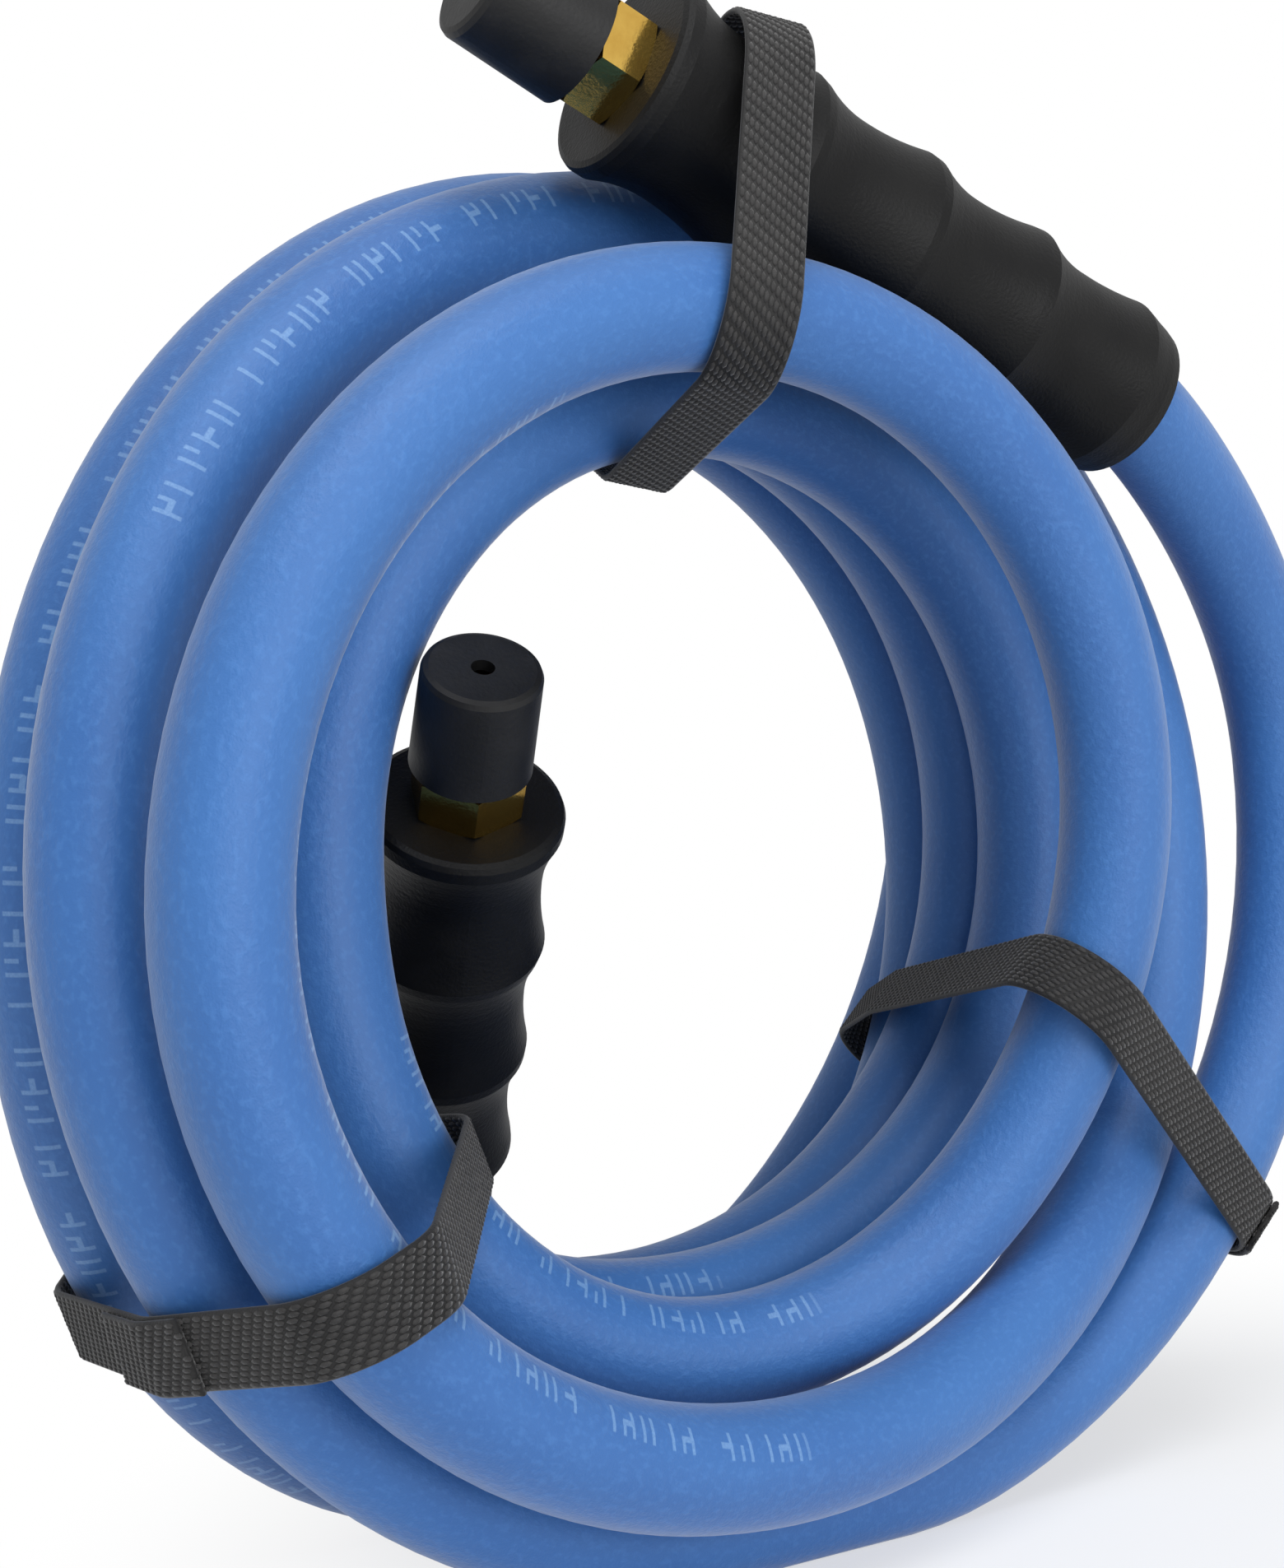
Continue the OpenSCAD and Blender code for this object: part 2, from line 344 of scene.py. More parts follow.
class HoseRubber(Finish):
    """Satin blue cover with a fine moulded skin and a row of plain printed marks."""

    title = "blue hose cover"
    constants = {"Specular IOR Level": 0.5, "Sheen Weight": 0.25, "Sheen Roughness": 0.45}
    deep, pale, bloom = srgb(42, 95, 160), srgb(50, 104, 168), srgb(72, 126, 190)
    most_bloom, coarse_share = 0.3, 0.7
    dull, cloud_dulls, skin_dulls = 0.46, 0.1, 0.06
    ink, thinnest_ink, added_ink = srgb(150, 190, 228), 0.16, 0.3
    # the printed marks, in metres: half their height, how soft they end, and from one to the next
    mark_half, mark_edge, mark_pitch = 0.0020, 0.00025, 0.0036
    half_top, dash_half = 0.0002, 0.0003   # where a half stroke ends; half a dash's thickness
    # a mark's strokes along the row, in shares of its pitch: middle and half width
    first_stroke, second_stroke, dash_stroke = (0.2, 0.1), (0.66, 0.1), (0.43, 0.3)
    stroke_edge = 0.05
    shuffle, kinds = 0.618034, 5.0   # picks one of so many kinds of mark, the same each run
    group, shown_share = 6.0, 0.78   # marks in a group, and the share of it that isn't blank

    def build(self) -> None:
        """Reads the wrap attribute: round the hose in x and y, along it in z, in metres."""
        wrap = self.attribute("wrap")
        skin = self.noise(wrap, grain=0.0009, detail=2.0, stretch=(1.0, 1.0, 0.8))
        cloud = self.noise(wrap, grain=0.018, detail=3.0, stretch=(1.0, 1.0, 0.35))
        fine = self.noise(wrap, grain=0.0003, detail=1.0)
        base = self.mix(cloud.window(0.3, 0.7), self.deep, self.pale)
        base = self.mix(skin.window(0.45, 0.75) * self.most_bloom, base, self.bloom)
        mark = self.marks() * (self.thinnest_ink + self.added_ink * fine)
        base = self.mix(mark.clamp(), base, self.ink)
        height = skin * self.coarse_share + fine * (1.0 - self.coarse_share)
        rough = self.dull + self.cloud_dulls * cloud + self.skin_dulls * skin
        self.feed(base_color=base, roughness=rough, normal=self.bump(height, depth=0.00014))

    def marks(self) -> Signal:
        """A printed row of generic strokes along the hose, read from the print attribute.

        Returns:
            1 on the ink.
        """
        round_it, run, shown = self.parts(self.attribute("print"))
        cell = (run / self.mark_pitch).floor()
        inside = (run / self.mark_pitch).fract()
        kind = ((cell * self.shuffle).fract() * self.kinds).floor()
        full = (self.mark_half - round_it.size()).window(0.0, self.mark_edge)
        half = full * (round_it < self.half_top)
        first, second, dash = (
            (width - (inside - middle).size()).window(0.0, self.stroke_edge)
            for middle, width in (self.first_stroke, self.second_stroke, self.dash_stroke))
        line = (self.dash_half - round_it.size()).window(-self.mark_edge, 0.0)
        # every kind has a first stroke; 1 and 2 have a dash, 2 to 4 half a second one, 4 all of it
        strokes = first * full
        strokes = strokes.most((kind > 1.5) * second * half)
        strokes = strokes.most((kind > 0.5) * (kind < 2.5) * line * dash)
        strokes = strokes.most((kind > 3.5) * second * full)
        word = (cell / self.group).fract() < self.shown_share
        return (strokes * word * shown).clamp()


class Clouded(Finish):
    """A finish in two shades, with a fine grain and soft clouds of the second shade."""

    shades: tuple[Shade, Shade]
    # the grain and the clouds, in metres, how many finer layers each has, how high the grain
    # stands, and between which values the clouds begin and are full
    grain: float
    grain_detail: float
    depth: float
    cloud: float
    cloud_detail: float
    cloud_edge: tuple[float, float]
    # the roughness, and what the clouds add
    dull: float
    cloud_dulls: float

    def build(self) -> None:
        """Adds the grain and the clouds, which also take off some of the gloss."""
        at = self.place()
        grain = self.noise(at, self.grain, self.grain_detail)
        cloud = self.noise(at, self.cloud, self.cloud_detail)
        self.feed(base_color=self.mix(cloud.window(*self.cloud_edge), *self.shades),
                  roughness=self.dull + self.cloud_dulls * cloud,
                  normal=self.bump(grain, self.depth))


class GripRubber(Clouded):
    """Dull black moulded rubber with soft clouds of dust."""

    title = "black moulded grip"
    constants = {"Specular IOR Level": 0.2}
    shades = (srgb(8, 8, 9), srgb(17, 17, 17))
    grain, grain_detail, depth = 0.0005, 2.0, 0.00008
    cloud, cloud_detail, cloud_edge = 0.012, 4.0, (0.35, 0.75)
    dull, cloud_dulls = 0.44, 0.14


class CapRubber(Clouded):
    """Soft black cap with faint scuffs, smoother than the grip."""

    title = "black thread cap"
    constants = {"Specular IOR Level": 0.4}
    shades = (srgb(11, 11, 12), srgb(24, 24, 25))
    grain, grain_detail, depth = 0.0007, 2.0, 0.00005
    cloud, cloud_detail, cloud_edge = 0.006, 5.0, (0.45, 0.8)
    dull, cloud_dulls = 0.46, 0.18


class Brass(Clouded):
    """Turned brass, bright where the tool left it and duller in the handling marks."""

    title = "turned brass"
    constants = {"Metallic": 1.0}
    shades = (srgb(232, 192, 98), srgb(204, 158, 70))
    grain, grain_detail, depth = 0.0006, 1.0, 0.00002
    cloud, cloud_detail, cloud_edge = 0.006, 4.0, (0.3, 0.75)
    dull, cloud_dulls = 0.1, 0.14


class Tape(Finish):
    """Dark woven tape, each float of yarn a little paler or darker than the next, over a ground
    painted darker as the shade between the floats.
    """

    title = "dark woven tape"
    constants = {"Specular IOR Level": 0.3, "Sheen Weight": 0.2, "Sheen Roughness": 0.4}
    # ground is painted shade: the band seen under and between the floats is darker than the yarn
    ground, yarn, faded, most_faded = srgb(22, 22, 23), srgb(55, 54, 54), srgb(56, 55, 54), 0.3
    dull, fibre_dulls = 0.6, 0.2

    def build(self) -> None:
        """Reads each float's tone, which is 0 on the ground of the tape, so the ground shows the
        painted shade colour.
        """
        at = self.place()
        tone = self.signal(self.node("ShaderNodeAttribute",
                                     {"attribute_name": "tone"}).outputs["Fac"])
        fibre = self.noise(at, grain=0.0003, detail=2.0)
        cloud = self.noise(at, grain=0.02, detail=2.0)
        # the ground has no tone, so it takes the darker ground colour, painted shade between the
        # floats
        base = self.mix(tone, self.ground, self.yarn)
        base = self.mix(cloud.window(0.35, 0.7) * self.most_faded, base, self.faded)
        self.feed(base_color=base, roughness=self.dull + self.fibre_dulls * fibre,
                  normal=self.bump(fibre, depth=0.00008))


# --------------------------------------------------------------------- route

Points = np.ndarray
QUARTER = 90.0   # degrees
NUDGE = 0.01     # of a quarter turn, for measuring which way the hose runs
# points of the middle line in each grip, and steps in the bend from there to the turns
GRIP_POINTS = 12
LEAD_OUT = 6
LEAD_IN = 12


def unit(v: Points) -> Points:
    """Each vector, one long."""
    return v / np.linalg.norm(v, axis=-1, keepdims=True)


@dataclass(frozen=True)
class Route:
    """The hose's middle line, with the same sizes as the solids, in millimetres."""

    hose_d: float = 17.0
    bore_d: float = 9.5
    lay_gap: float = 0.7
    eye_r: float = 66.0
    flat_cut: float = 1.7
    grip_len: float = 102.0
    hose_start: float = 3.0
    # the turns: how far out of the eye and how far back each quarter turn lies, in pitches
    lay: tuple[tuple[float, float], ...] = (
        (3.35, 0.45), (3.10, -0.45), (1.75, -0.15), (1.75, -0.15),
        (1.60, 0.55), (1.80, 0.10), (0.90, -1.10), (1.45, -1.45),
        (0.50, -1.35), (-0.25, -1.20), (0.35, 0.15), (-0.60, 1.00),
        (0.25, 0.75), (0.90, 0.95), (0.20, 1.25), (0.20, 2.05),
        (0.65, 1.70), (1.10, 1.95), (0.35, 2.25), (0.15, 3.10),
        (0.85, 2.70), (1.45, 2.90), (1.75, 2.65), (1.60, 1.15),
        (1.90, 1.80), (2.55, 4.05), (2.75, 6.30), (2.95, 7.35))
    # each grip's mouth and the point that it runs from: degrees from the top, row and column
    outer_end: tuple[Triple, Triple] = ((44.5, 2.00, -0.90), (-12.5, 2.60, -0.70))
    inner_end: tuple[Triple, Triple] = ((185.5, 0.05, 4.55), (291.5, -1.75, 0.90))
    # the solid tube: its steps, their length in quarter turns, and its sides
    steps: int = 147
    step: float = 1 / 6
    sides: int = 6
    # points that each step is split into here
    fine: int = 5
    # how far the bend at each end keeps straight on from where it starts and ends, in pitches
    reach_out: tuple[float, float] = (0.4, 1.9)
    reach_in: tuple[float, float] = (3.5, 2.1)

    @property
    def pitch(self) -> float:
        """From one turn to the next."""
        return self.hose_d + self.lay_gap

    @property
    def hose_r(self) -> float:
        """Outside radius of the hose."""
        return self.hose_d / 2

    @property
    def axis_h(self) -> float:
        """Height of the coil's axis over the floor."""
        facet = self.hose_r * math.cos(math.pi / self.sides)
        return ((self.eye_r + self.pitch * self.lay[2][0] + facet)
                * math.cos(math.radians(QUARTER / 2 * self.step)) - self.flat_cut)

    @property
    def wind_from(self) -> float:
        """Where the turns start, in quarter turns from the top."""
        return 1 - self.step / 2

    @property
    def wind_to(self) -> float:
        """Where the turns end."""
        return self.wind_from + self.steps * self.step

    def polar(self, quarter: Points, row: Points, column: Points) -> Points:
        """Points from their angle round the coil and their place in pitches.

        Args:
            quarter: angle in quarter turns, clockwise from the top.
            row: how far out of the eye.
            column: how far back.

        Returns:
            The points.
        """
        r = self.eye_r + self.pitch * np.asarray(row, float)
        a = np.asarray(quarter, float) * math.pi / 2
        back = self.pitch * (np.asarray(column, float) - self.lay[2][1])
        return np.stack([r * np.sin(a), back, r * np.cos(a) + self.axis_h], axis=-1)

    def turn(self, quarter: Points) -> Points:
        """Points on the turns.

        Args:
            quarter: angles in quarter turns from the top of the first turn.

        Returns:
            The points.
        """
        quarter = np.atleast_1d(np.asarray(quarter, float))
        lay = np.array(self.lay)
        i = np.floor(quarter).astype(int)
        t = (quarter - i)[:, None]
        a, b, c, d = (lay[np.clip(i + n, 0, len(lay) - 1)] for n in (-1, 0, 1, 2))
        at = 0.5 * (2 * b + (c - a) * t + (2 * a - 5 * b + 4 * c - d) * t * t
                    + (3 * b - a - 3 * c + d) * t ** 3)
        return self.polar(quarter, at[:, 0], at[:, 1])

    def heading(self, quarter: float) -> Points:
        """Which way the hose runs at an angle."""
        return unit(self.turn(quarter + NUDGE)[0] - self.turn(quarter - NUDGE)[0])

    def end(self, end: End) -> tuple[Points, Points, Points]:
        """One end of the hose.

        Args:
            end: which.

        Returns:
            Where its fitting meets the grip, the way from there to the hose, the grip's mouth.
        """
        places = self.outer_end if end is End.OUTER else self.inner_end
        mouth, aim = (self.polar(angle / QUARTER, row, column) for angle, row, column in places)
        way = unit(mouth - aim)
        return mouth - self.grip_len * way, way, mouth

    def bezier(self, corners: Sequence[Points], count: int) -> Points:
        """Points on a bend, without its last one.

        Args:
            corners: its four corners.
            count: how many.

        Returns:
            The points.
        """
        t = np.linspace(0, 1, count, endpoint=False)[:, None]
        p = corners
        return (p[0] * (1 - t) ** 3 + 3 * p[1] * t * (1 - t) ** 2
                + 3 * p[2] * t * t * (1 - t) + p[3] * t ** 3)

    def middle(self) -> Points:
        """The whole middle line, from the outer fitting to the inner one."""
        start, way_out, mouth_out = self.end(End.OUTER)
        finish, way_in, mouth_in = self.end(End.INNER)
        first, last = self.turn(self.wind_from)[0], self.turn(self.wind_to)[0]
        leave_out, meet_out = (self.pitch * reach for reach in self.reach_out)
        leave_in, meet_in = (self.pitch * reach for reach in self.reach_in)
        bend_out = (mouth_out, mouth_out + leave_out * way_out,
                    first - meet_out * self.heading(self.wind_from), first)
        bend_in = (last, last + leave_in * self.heading(self.wind_to),
                   mouth_in + meet_in * way_in, mouth_in)
        turns = self.turn(np.linspace(self.wind_from, self.wind_to, self.steps * self.fine,
                                      endpoint=False))
        grip = np.linspace(0, 1, GRIP_POINTS, endpoint=False)[:, None]
        line_out = start + self.hose_start * way_out
        line_in = finish + self.hose_start * way_in
        return np.concatenate([
            line_out + (mouth_out - line_out) * grip,
            self.bezier(bend_out, LEAD_OUT * self.fine), turns,
            self.bezier(bend_in, LEAD_IN * self.fine),
            mouth_in + (line_in - mouth_in) * grip, [line_in]])


# ------------------------------------------------------------------ patterns

class Pattern(NodeBench):
    """A geometry node tree with named sizes, which turns a guide into a plain mesh."""

    title = "pattern"
    sizes: dict[str, float] = {}

    def __init__(self, material: bpy.types.Material) -> None:
        """Builds the tree.

        Args:
            material: what the result is made of.
        """
        super().__init__(bpy.data.node_groups.new(self.title, "GeometryNodeTree"))
        face = self.tree.interface
        face.new_socket("Geometry", in_out="INPUT", socket_type="NodeSocketGeometry")
        for name, value in self.sizes.items():
            socket = face.new_socket(name, in_out="INPUT", socket_type="NodeSocketFloat")
            socket.default_value = value
        face.new_socket("Geometry", in_out="OUTPUT", socket_type="NodeSocketGeometry")
        self.given = self.node("NodeGroupInput").outputs
        real = self.node("GeometryNodeRealizeInstances", None, {"Geometry": self.build()})
        dressed = self.node("GeometryNodeSetMaterial", None,
                            {"Geometry": real.outputs[0], "Material": material})
        self.node("NodeGroupOutput", None, {"Geometry": dressed.outputs[0]})

    def build(self) -> bpy.types.NodeSocket:
        """Adds the tree's own nodes and returns the geometry that they make."""
        raise NotImplementedError

    def of(self, name: str) -> Signal:
        """One of the named sizes."""
        return self.signal(self.given[name])

    def vector(self, operation: str, *values: Any) -> bpy.types.NodeSocket:
        """Adds a Vector Math node.

        Args:
            operation: what it does; SCALE takes a vector and a number.
            values: what its inputs hold.

        Returns:
            The resulting vector.
        """
        places = (0, "Scale") if operation == "SCALE" else range(len(values))
        node = self.node("ShaderNodeVectorMath", {"operation": operation},
                         dict(zip(places, values)))
        return node.outputs["Vector"]

    def join(self, x: Number, y: Number, z: Number) -> bpy.types.NodeSocket:
        """Makes a vector of three numbers."""
        return self.node("ShaderNodeCombineXYZ", None, {0: x, 1: y, 2: z}).outputs[0]

    def grow(self, guide: bpy.types.Object, **sizes: float) -> bpy.types.Object:
        """Runs the tree on a guide and leaves the guide as the plain result.

        Args:
            guide: an object at the origin.
            sizes: values for the named sizes, with underscores for spaces.

        Returns:
            The guide, now the finished piece.
        """
        modifier = guide.modifiers.new(self.title, "NODES")
        modifier.node_group = self.tree
        for item in self.tree.interface.items_tree:
            key = item.name.lower().replace(" ", "_")
            if item.in_out == "INPUT" and key in sizes:
                modifier[item.identifier] = float(sizes[key])
        graph = bpy.context.evaluated_depsgraph_get()
        mesh = bpy.data.meshes.new_from_object(guide.evaluated_get(graph), depsgraph=graph)
        mesh.name = guide.name
        guide.modifiers.clear()
        guide.data = mesh
        return guide


class ThreadRidge(Pattern):
    """A tapered helical ridge along +Z, for the thread of a fitting."""

    title = "thread ridge"
    sizes = {"Turns": 9.0, "Length": 0.0127, "Low radius": 0.0068, "High radius": 0.0064,
             "Ridge": 0.0004}

    def build(self) -> bpy.types.NodeSocket:
        """Sweeps a three-sided ridge along a spiral."""
        spiral = self.node("GeometryNodeCurveSpiral", None, {
            "Resolution": 48, "Rotations": self.of("Turns"), "Start Radius": self.of("Low radius"),
            "End Radius": self.of("High radius"), "Height": self.of("Length")})
        upright = self.node("GeometryNodeSetCurveNormal", {"mode": "Z_UP"},
                            {"Curve": spiral.outputs[0]})
        ridge = self.node("GeometryNodeCurvePrimitiveCircle", {"mode": "RADIUS"},
                          {"Resolution": 3, "Radius": self.of("Ridge")})
        swept = self.node("GeometryNodeCurveToMesh", None, {
            "Curve": upright.outputs[0], "Profile Curve": ridge.outputs[0], "Fill Caps": True})
        return swept.outputs[0]


class Weave(Pattern):
    """Floats of yarn in a diagonal twill on both faces of a tape, along its middle line."""

    title = "twill floats"
    sizes = {"Repeat": 0.0019, "Columns": 13.0, "Width": 0.0096, "Face height": 0.0005,
             "Crown": 0.00016}
    shafts = 4.0
    slack, first_shaft = 0.01, 0.1   # keep a row that is a whole number of shafts, and no other
    long_share, wide_share = 0.5, 0.56   # half a float's length and width, of its room
    palest, darkest, seed = 0.85, 0.4, 4

    def build(self) -> bpy.types.NodeSocket:
        """Sets floats out in rows along the guide, every fourth one in each column."""
        line = self.node("GeometryNodeMeshToCurve", None, {"Mesh": self.given["Geometry"]})
        points = self.node("GeometryNodeCurveToPoints", {"mode": "LENGTH"}, {
            "Curve": line.outputs[0], "Length": self.of("Repeat") / self.shafts})
        row = self.node("GeometryNodeStoreNamedAttribute", {"data_type": "FLOAT"}, {
            "Geometry": points.outputs["Points"], "Name": "row",
            "Value": self.node("GeometryNodeInputIndex").outputs[0]})
        rows = self.node("GeometryNodeDuplicateElements", {"domain": "POINT"}, {
            "Geometry": row.outputs[0], "Amount": self.of("Columns") * 2.0})
        copy = self.signal(rows.outputs["Duplicate Index"])
        face = ((copy + 0.5) / self.of("Columns")).floor()
        column = copy - face * self.of("Columns")
        number = self.signal(self.node("GeometryNodeInputNamedAttribute", {"data_type": "FLOAT"},
                                       {"Name": "row"}).outputs[0])
        out = self.node("GeometryNodeInputNamedAttribute", {"data_type": "FLOAT_VECTOR"},
                        {"Name": "outward"}).outputs[0]
        along = points.outputs["Tangent"]
        across = self.vector("NORMALIZE", self.vector("CROSS_PRODUCT", along, out))
        sideways = ((column + 0.5) / self.of("Columns") - 0.5) * self.of("Width")
        up = (1.0 - 2.0 * face) * self.of("Face height")
        moved = self.node("GeometryNodeSetPosition", None, {
            "Geometry": rows.outputs["Geometry"],
            "Offset": self.vector("ADD", self.vector("SCALE", across, sideways),
                                  self.vector("SCALE", out, up))})
        turned = self.node("FunctionNodeAxesToRotation",
                           {"primary_axis": "X", "secondary_axis": "Z"},
                           {"Primary Axis": along, "Secondary Axis": out})
        order = (number + column + 2.0 * face) / self.shafts
        chosen = (order + self.slack).fract() < self.first_shaft
        float_mesh = self.node("GeometryNodeMeshUVSphere", None,
                               {"Segments": 6, "Rings": 3, "Radius": 1.0})
        smooth = self.node("GeometryNodeSetShadeSmooth", None, {"Geometry": float_mesh.outputs[0]})
        placed = self.node("GeometryNodeInstanceOnPoints", None, {
            "Points": moved.outputs[0], "Selection": chosen, "Instance": smooth.outputs[0],
            "Rotation": turned.outputs[0],
            "Scale": self.join(self.of("Repeat") * self.long_share,
                               self.of("Width") / self.of("Columns") * self.wide_share,
                               self.of("Crown"))})
        random = self.node("FunctionNodeRandomValue", {"data_type": "FLOAT"}, {"Seed": self.seed})
        low, high = [i for i in random.inputs if i.name in ("Min", "Max") and i.type == "VALUE"
                     and i.enabled]
        low.default_value, high.default_value = self.darkest, self.palest
        value = [o for o in random.outputs if o.enabled][0]
        toned = self.node("GeometryNodeStoreNamedAttribute",
                          {"data_type": "FLOAT", "domain": "INSTANCE"},
                          {"Geometry": placed.outputs[0], "Name": "tone", "Value": value})
        return toned.outputs[0]


# -------------------------------------------------------------- making meshes

def lengths(line: Points) -> Points:
    """How far along a line each of its points is."""
    return np.concatenate([[0], np.cumsum(np.linalg.norm(np.diff(line, axis=0), axis=1))])


def new_mesh(name: str, points: Points, faces: Iterable[Sequence[int]],
             smooth: bool = True) -> bpy.types.Object:
    """Makes an object at the origin from points in millimetres.

    Args:
        name: the piece's name.
        points: its points.
        faces: its faces, anticlockwise from outside.
        smooth: whether it is shaded smooth.

    Returns:
        The object, linked to the scene.
    """
    mesh = bpy.data.meshes.new(name)
    mesh.from_pydata((np.asarray(points) * MM).tolist(), [], [list(f) for f in faces])
    mesh.polygons.foreach_set("use_smooth", [smooth] * len(mesh.polygons))
    mesh.update()
    piece = bpy.data.objects.new(name, mesh)
    bpy.context.scene.collection.objects.link(piece)
    return piece


def hold(piece: bpy.types.Object, name: str, vectors: Points) -> None:
    """Stores a vector for each point of a piece under a name."""
    layer = piece.data.attributes.new(name, "FLOAT_VECTOR", "POINT")
    layer.data.foreach_set("vector", np.asarray(vectors, float).ravel())


def ring_faces(rows: int, around: int, closed: bool = False) -> list[tuple[int, ...]]:
    """Faces of a skin of rings, each with the same number of points.

    Args:
        rows: how many rings.
        around: points in a ring.
        closed: whether the last ring joins the first.

    Returns:
        The faces, which point outwards where rings turn anticlockwise about the way ahead.
    """
    faces = []
    for i in range(rows if closed else rows - 1):
        a, b = i * around, ((i + 1) % rows) * around
        for s in range(around):
            n = (s + 1) % around
            faces.append((a + s, a + n, b + n, b + s))
    return faces


@dataclass
class HoseCover:
    """The hose itself: a round tube with its bore, flattened where it stands."""

    route: Route
    finish: Finish
    around: int = 32
    # how far the line may sink under a hose's radius from the floor, and how softly it stops
    sink: float = 2.0
    soft: float = 1.2
    # the printed stretches, and how far out of the front the row leans, at quarter turns
    prints: tuple[tuple[float, float], ...] = (
        (3.25, 3.95), (6.05, 7.6), (9.85, 10.75), (13.9, 14.7), (18.3, 19.6), (22.3, 23.75))
    print_leans: tuple[tuple[float, float], ...] = (
        (0, 0), (3.2, 25), (3.9, 30), (6, -25), (6.6, -50), (7.2, -70), (10, -45), (14, -40),
        (18, 20), (22.2, 62), (23.6, 35))
    piece: bpy.types.Object = field(init=False)
    line: Points = field(init=False)

    def build(self) -> bpy.types.Object:
        """Makes the tube along the route.

        Returns:
            The piece.
        """
        r = self.route
        self.line = line = self.lifted(r.middle())
        run = lengths(line)
        ahead = unit(np.gradient(line, axis=0))
        out = unit(np.cross(ahead, [0.0, 1.0, 0.0]))
        side = np.cross(out, ahead)
        turn = np.linspace(0, 2 * math.pi, self.around, endpoint=False)
        ring = np.stack([np.cos(turn), np.sin(turn)], axis=1)

        def skin(radius: float) -> Points:
            """Points of one skin."""
            p = (line[:, None] + radius * ring[None, :, :1] * side[:, None]
                 + radius * ring[None, :, 1:] * out[:, None]).reshape(-1, 3)
            p[:, 2] = np.maximum(p[:, 2], 0.0)
            return p

        rows, n = len(line), self.around
        outer, bore = skin(r.hose_r), skin(r.bore_d / 2)
        faces = ring_faces(rows, n)
        count = rows * n
        faces += [tuple(count + v for v in reversed(f)) for f in ring_faces(rows, n)]
        for base, flip in ((0, False), ((rows - 1) * n, True)):
            for s in range(n):
                f = (base + s, count + base + s, count + base + (s + 1) % n, base + (s + 1) % n)
                faces.append(f[::-1] if flip else f)
        self.piece = new_mesh("hose_cover", np.concatenate([outer, bore]), faces)
        wrap = np.zeros((rows, n, 3))
        wrap[..., :2] = ring[None] * r.hose_r * MM
        wrap[..., 2] = run[:, None] * MM
        hold(self.piece, "wrap", np.concatenate([wrap.reshape(-1, 3)] * 2))
        ink = np.zeros((rows, n, 3))
        turned = (turn[None, :] - self.print_angle(rows)[:, None] + math.pi) % (2 * math.pi)
        ink[..., 0] = (turned - math.pi) * r.hose_r * MM
        ink[..., 1] = run[:, None] * MM
        ink[..., 2] = self.print_shown(rows)[:, None]
        hold(self.piece, "print", np.concatenate([ink.reshape(-1, 3), np.zeros((rows * n, 3))]))
        self.finish.dress(self.piece)
        return self.piece

    def print_angle(self, rows: int) -> Points:
        """Where the printed row is round the hose: pi faces front, less is outwards.

        Args:
            rows: how many points the line has.

        Returns:
            An angle for each of them.
        """
        places, leans = zip(*self.print_leans)
        return math.pi - np.radians(np.interp(self.quarters(rows), places, leans))

    def quarters(self, rows: int) -> Points:
        """Where each point of the line is, in quarter turns."""
        r = self.route
        lead = GRIP_POINTS + LEAD_OUT * r.fine
        return r.wind_from + (np.arange(rows) - lead) * r.step / r.fine

    def print_shown(self, rows: int) -> Points:
        """1 along the printed stretches of the hose, 0 between them."""
        quarter = self.quarters(rows)
        return sum(((quarter > a) & (quarter < b)).astype(float) for a, b in self.prints)

    def lifted(self, line: Points) -> Points:
        """The line, raised softly where it would sink deep into the floor."""
        least = self.route.hose_r - self.sink
        line = line.copy()
        line[:, 2] = least + self.soft * np.logaddexp(0.0, (line[:, 2] - least) / self.soft)
        return line

    def declare(self, others: Sequence[bpy.types.Object]) -> None:
        """Puts the hose on the coil's body and hides the plain hose.

        Args:
            others: the pieces on its far end, not used here.
        """
        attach(self.piece, COIL_BODY)
        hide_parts("hose")


# each tie's angle round the coil, lean, tilt, the circle that its end laps at, and whether it
# holds the outer grip
TIES = {"top": (357, 14, -20, 8, True), "right": (116.5, 15, 7, 0, False),
        "left": (234.5, 16, 6, 0, False)}


